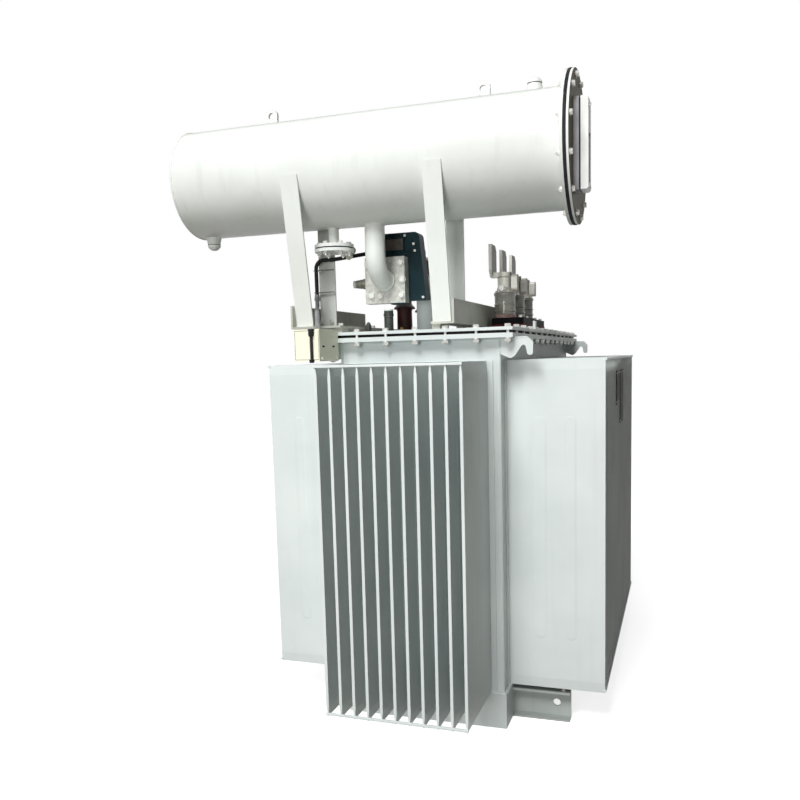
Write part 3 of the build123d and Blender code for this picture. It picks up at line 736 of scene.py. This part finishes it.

# Low voltage bushings: short grey porcelains in one row on a black base plate.
# A dark red seal lies under the plate, bolts hold it down, and each terminal is bare tinned metal with
# painted highlight and shade.
LV_X = 190
LV_PITCH = 215
BASE_TOP = 1523
LV_PROFILE = ((0, 1538), (42, 1538), (43, 1541), (43, 1549), (45.5, 1551), (45.5, 1555), (43, 1557),
              (43, 1575), (45.5, 1577), (45.5, 1581), (43, 1583), (43, 1614), (46, 1618), (46.8, 1626),
              (45, 1630), (0, 1630))
LV_CAP = ((29, 1630), (41, 1630), (41, 1636), (33, 1640), (33, 1648), (31, 1650), (29, 1650), (29, 1630))
base_black = finish_of("base_black", shade(22, 21, 22), shade(12, 12, 13), 0.6, drift=20, shine=0.05)
red_seal = finish_of("red_seal", shade(92, 40, 44), shade(66, 26, 30), 0.7, drift=30, shine=0.1)
dress("lv_base_plate", base_black)
low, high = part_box("lv_base_plate")
slab = (low[0] / MM, low[1] / MM, high[0] / MM, high[1] / MM)
strip = bmesh.new()
plate(strip, (slab[0] - 2, slab[1] - 2, 1484), (slab[2] + 2, slab[3] + 2, 1496))
shown("lv_red_seal", strip, red_seal)
raised = bmesh.new()
plate(raised, (slab[0] - 8, slab[1] - 8, 1466), (slab[2] + 8, slab[3] + 8, 1484))
soft_edges(shown("lv_raised_frame", raised, tank_paint), 0.002)
base_bolts = bmesh.new()
for y in (-250, -108, 108, 250):
    hexagon(base_bolts, (slab[2] - 16, y, BASE_TOP), "z", 14, 8, washer=9)
for y in (-108, 108):
    hexagon(base_bolts, (slab[0] + 16, y, BASE_TOP), "z", 14, 8, washer=9)
shown("lv_base_bolts", base_bolts, zinc)
grey_glaze = finish_of("grey_glaze", shade(164, 164, 154), shade(112, 110, 98), 0.16, drift=16, grain=120,
                       peel=0.05, shine=0.5)
pink_ring = finish_of("pink_ring", shade(168, 140, 136), shade(134, 104, 100), 0.4, drift=25)
for i in range(3):
    y = LV_PITCH * (i - 1)
    skin = bmesh.new()
    turned_glaze(skin, LV_X, y, LV_PROFILE)
    piece = smooth(shown("lv_glaze_" + str(i + 1), skin, grey_glaze))
    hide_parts("lv_bushing_" + str(i + 1))
    foot = bmesh.new()
    turned_glaze(foot, LV_X, y, [(0, BASE_TOP), (46, BASE_TOP), (46, 1536), (44.5, 1538), (0, 1538)])
    smooth(shown("lv_foot_ring_" + str(i + 1), foot, pink_ring))
    collar = bmesh.new()
    turned_glaze(collar, LV_X, y, LV_CAP)
    turned_glaze(collar, LV_X, y, [(29, 1690), (31.5, 1691), (31.5, 1697), (29, 1698), (29, 1690)])
    smooth(shown("lv_collar_" + str(i + 1), collar, tinned))
    heads = bmesh.new()
    for side in (-1, 1):
        for aside in (-20, 20):
            hexagon(heads, (LV_X + aside, y + side * 38 * 0.9, 1630), "z", 12, 8, washer=8)
    dress("lv_terminal_" + str(i + 1), terminal_tin_lit_shaded)
    hexagon(heads, (LV_X - 6, y - 32, 1647), "y", 24, -12, washer=15)
    shown("lv_bolts_" + str(i + 1), heads, zinc)

# Marshalling box: a folded steel box in cream, with a dark seam round the door on its front.
# Two small vents, drawn as black slots of painted shade, and two bolts show on its right side.
SEAM_LOW = 1369
SEAM_HIGH = 1470.7
SEAM_WIDE = 1.2
SEAM_LEFT = -388
SEAM_RIGHT = -296
box_paint = finish_of("box_paint", shade(250, 248, 226), shade(240, 238, 214), 0.36, streak=0.06)
dress("terminal_box", box_paint)
box_seams = bmesh.new()
for left, low, right, high in ((SEAM_LEFT, SEAM_LOW, SEAM_RIGHT, SEAM_LOW + SEAM_WIDE),
                               (SEAM_LEFT, SEAM_HIGH - SEAM_WIDE, -325, SEAM_HIGH),
                               (SEAM_LEFT, SEAM_LOW, SEAM_LEFT + SEAM_WIDE, SEAM_HIGH),
                               (SEAM_RIGHT - SEAM_WIDE, SEAM_LOW, SEAM_RIGHT, SEAM_HIGH)):
    plate(box_seams, (left, -1060.4, low), (right, -1059, high))
shown("box_door_seam", box_seams, seal_rubber)
# Painted shade: black slots stand for the dark inside of the two vents.
vent_shade_slots = bmesh.new()
for y in (-1025, -937):
    plate(vent_shade_slots, (-295, y - 9, 1412), (-293.6, y + 9, 1418))
shown("box_vent_shade", vent_shade_slots, seal_rubber)
box_bolts = bmesh.new()
for y in (-1040, -912):
    hexagon(box_bolts, (-294, y, 1373), "x", 10, 5)
shown("box_bolts", box_bolts, zinc)

# Signal cable and conduit: a black cable from the relay, tied to the rear leg.
# A grey conduit with a nut at each end takes it on to the box, and a short lead hangs before the box.
CABLE_R = 8
TIE_WIDE = 8.6
CONDUIT_X = -352
CONDUIT_Y = -940
LEAD_X = -322
LEAD_Y = -1066
cable_skin = finish_of("cable_skin", shade(28, 28, 30), shade(18, 18, 20), 0.55, drift=60, grain=900)
conduit_grey = finish_of("conduit_grey", shade(150, 152, 152), shade(122, 124, 124), 0.5, drift=50)
dress("signal_cable", cable_skin)
dress("cable_conduit", conduit_grey)
low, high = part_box("signal_cable")
cable_x = (low[0] + CABLE_R * MM) / MM
cable_foot = low[2] / MM
cable_y = (low[1] + CABLE_R * MM) / MM
nuts = bmesh.new()
round_bar(nuts, (cable_x, cable_y, cable_foot - 12), "z", 12, 12.5, sides=8)
round_bar(nuts, (cable_x, cable_y, cable_foot), "z", 14, 11, 9.5, sides=24)
round_bar(nuts, (CONDUIT_X, CONDUIT_Y, 1476), "z", 12, 14, sides=6)
round_bar(nuts, (CONDUIT_X, CONDUIT_Y, 1488), "z", 8, 11.5, 10, sides=24)
soft_edges(shown("conduit_nuts", nuts, conduit_grey), 0.001)
ties = bmesh.new()
for z in (cable_foot + 20, 1730):
    plate(ties, (cable_x - TIE_WIDE, cable_y - TIE_WIDE, z - 2),
          (cable_x + CABLE_R, cable_y + TIE_WIDE, z + 2))
    plate(ties, (cable_x, cable_y - TIE_WIDE, z - 2), (-439, cable_y + 0.6, z + 2))
shown("cable_ties", ties, conduit_grey)
lead = bmesh.new()
round_bar(lead, (LEAD_X, LEAD_Y, 1366), "z", 88, 5.2, sides=20)
shown("box_lead", lead, cable_skin)
glands = bmesh.new()
round_bar(glands, (LEAD_X, LEAD_Y, 1450), "z", 12, 9, 10.5, sides=6)
round_bar(glands, (LEAD_X, LEAD_Y, 1462), "z", 10, 10.5, 8, sides=20)
round_bar(glands, (LEAD_X, LEAD_Y, 1358), "z", 11, 8, 10, sides=6)
plate(glands, (LEAD_X - 11, LEAD_Y - 2, 1470), (LEAD_X + 11, LEAD_Y + 10, 1476))
soft_edges(shown("box_glands", glands, seal_rubber), 0.001)

# Name plates: two bare blackened plates on the tips of the right-hand fins.
# A zinc rivet holds each corner.
RIVET_IN = 9
plate_dark = finish_of("plate_dark", shade(34, 36, 34), shade(18, 20, 18), 0.6, drift=20, shine=0.04)
rivets = bmesh.new()
for node in ("small_name_plate", "large_name_plate"):
    dress(node, plate_dark)
    low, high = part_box(node)
    for y in (low[1] / MM + RIVET_IN, high[1] / MM - RIVET_IN):
        for z in (low[2] / MM + RIVET_IN, high[2] / MM - RIVET_IN):
            round_bar(rivets, (658, y, z), "x", 1.4, 4, 2.5, sides=16)
shown("plate_rivets", rivets, zinc)

# Floor: one flat sheet under the transformer. It throws a dim brownish light back on it,
# and shows pale to the camera with a faint glow, so it meets the white ground and keeps the shadow.
floor_mesh = bmesh.new()
bmesh.ops.create_grid(floor_mesh, x_segments=2, y_segments=2, size=40)
floor_data = bpy.data.meshes.new("floor")
floor_mesh.to_mesh(floor_data)
floor_mesh.free()
floor = bpy.data.objects.new("floor", floor_data)
bpy.context.scene.collection.objects.link(floor)
pale = bpy.data.materials.new("pale_floor")
pale.use_nodes = True
tree = pale.node_tree
base = tree.nodes["Principled BSDF"]
base.inputs["Roughness"].default_value = 0.9
path = tree.nodes.new("ShaderNodeLightPath")
seen = tree.nodes.new("ShaderNodeMath")
seen.operation = "MAXIMUM"
tree.links.new(path.outputs["Is Camera Ray"], seen.inputs[0])
tree.links.new(path.outputs["Is Glossy Ray"], seen.inputs[1])
cast = tree.nodes.new("ShaderNodeMix")
cast.data_type = "RGBA"
cast.inputs["A"].default_value = (0.13, 0.115, 0.095, 1)
cast.inputs["B"].default_value = (0.72, 0.72, 0.72, 1)
tree.links.new(seen.outputs["Value"], cast.inputs["Factor"])
tree.links.new(cast.outputs["Result"], base.inputs["Base Color"])
glow = tree.nodes.new("ShaderNodeEmission")
glow.inputs["Color"].default_value = (1, 1, 1, 1)
faint = tree.nodes.new("ShaderNodeMath")
faint.operation = "MULTIPLY"
faint.inputs[1].default_value = 0.80
tree.links.new(seen.outputs["Value"], faint.inputs[0])
tree.links.new(faint.outputs["Value"], glow.inputs["Strength"])
both = tree.nodes.new("ShaderNodeAddShader")
tree.links.new(base.outputs["BSDF"], both.inputs[0])
tree.links.new(glow.outputs["Emission"], both.inputs[1])
tree.links.new(both.outputs["Shader"], tree.nodes["Material Output"].inputs["Surface"])
floor_data.materials.append(pale)

# Studio light: a white surround for the camera, and for the object a dimmer one that falls off
# to the right. A broad lamp hangs high in front, and a weaker one stands low in front.
world = bpy.data.worlds.new("studio")
bpy.context.scene.world = world
world.use_nodes = True
tree = world.node_tree
sky = tree.nodes["Background"]
sky.inputs["Strength"].default_value = 0.46
way = tree.nodes.new("ShaderNodeNewGeometry")
parts = tree.nodes.new("ShaderNodeSeparateXYZ")
tree.links.new(way.outputs["Position"], parts.inputs["Vector"])
fall = tree.nodes.new("ShaderNodeMapRange")
fall.inputs["From Min"].default_value = -0.35
fall.inputs["From Max"].default_value = 0.35
tree.links.new(parts.outputs["X"], fall.inputs["Value"])
wash = tree.nodes.new("ShaderNodeMix")
wash.data_type = "RGBA"
wash.inputs["A"].default_value = (1.0, 1.0, 1.0, 1)
wash.inputs["B"].default_value = (0.03, 0.028, 0.024, 1)
tree.links.new(fall.outputs["Result"], wash.inputs["Factor"])
tree.links.new(wash.outputs["Result"], sky.inputs["Color"])
white = tree.nodes.new("ShaderNodeBackground")
white.inputs["Color"].default_value = (1, 1, 1, 1)
white.inputs["Strength"].default_value = 1.0
path = tree.nodes.new("ShaderNodeLightPath")
either = tree.nodes.new("ShaderNodeMath")
either.operation = "MAXIMUM"
more = tree.nodes.new("ShaderNodeMath")
more.operation = "MAXIMUM"
tree.links.new(path.outputs["Is Camera Ray"], either.inputs[0])
tree.links.new(path.outputs["Is Glossy Ray"], either.inputs[1])
tree.links.new(either.outputs["Value"], more.inputs[0])
tree.links.new(path.outputs["Is Transmission Ray"], more.inputs[1])
pick = tree.nodes.new("ShaderNodeMixShader")
tree.links.new(more.outputs["Value"], pick.inputs["Fac"])
tree.links.new(sky.outputs["Background"], pick.inputs[1])
tree.links.new(white.outputs["Background"], pick.inputs[2])
tree.links.new(pick.outputs["Shader"], tree.nodes["World Output"].inputs["Surface"])


def lamp(name, place, aim, size, power):
    """A square soft lamp hung at a place and turned to face the transformer."""
    light = bpy.data.lights.new(name, "AREA")
    light.size = size
    light.energy = power
    hung = bpy.data.objects.new(name, light)
    hung.location = place
    hung.rotation_euler = (Vector(aim) - Vector(place)).to_track_quat("-Z", "Y").to_euler()
    bpy.context.scene.collection.objects.link(hung)


lamp("key_lamp", (-0.3, -6.0, 6.6), (0, 0, 1.2), 2.6, 455)
lamp("front_lamp", (-0.2, -7.5, 1.4), (0, 0, 1.0), 2.2, 130)

# Camera: fitted to the photograph's corners. It stands in front and a little to the right,
# just below the height of the cover, and looks slightly down.
YAW = 0.3288
PITCH = -0.1142
ROLL = -0.0263
PLACE = (0.9153, -3.7238, 1.3697)
eye = bpy.data.cameras.new("camera")
eye.sensor_width = 36
eye.lens = 37.2
eye.shift_x = -0.0045
eye.shift_y = 0.0651
camera = bpy.data.objects.new("camera", eye)
bpy.context.scene.collection.objects.link(camera)
bpy.context.scene.camera = camera
ahead = Vector((-math.sin(YAW) * math.cos(PITCH), math.cos(YAW) * math.cos(PITCH), math.sin(PITCH)))
right = Vector((math.cos(YAW), math.sin(YAW), 0))
up = right.cross(ahead)
across = math.cos(ROLL) * right + math.sin(ROLL) * up
upright = -math.sin(ROLL) * right + math.cos(ROLL) * up
turned = Matrix((across, upright, -ahead)).transposed().to_4x4()
camera.matrix_world = Matrix.Translation(PLACE) @ turned
bpy.context.scene.view_settings.view_transform = "Standard"
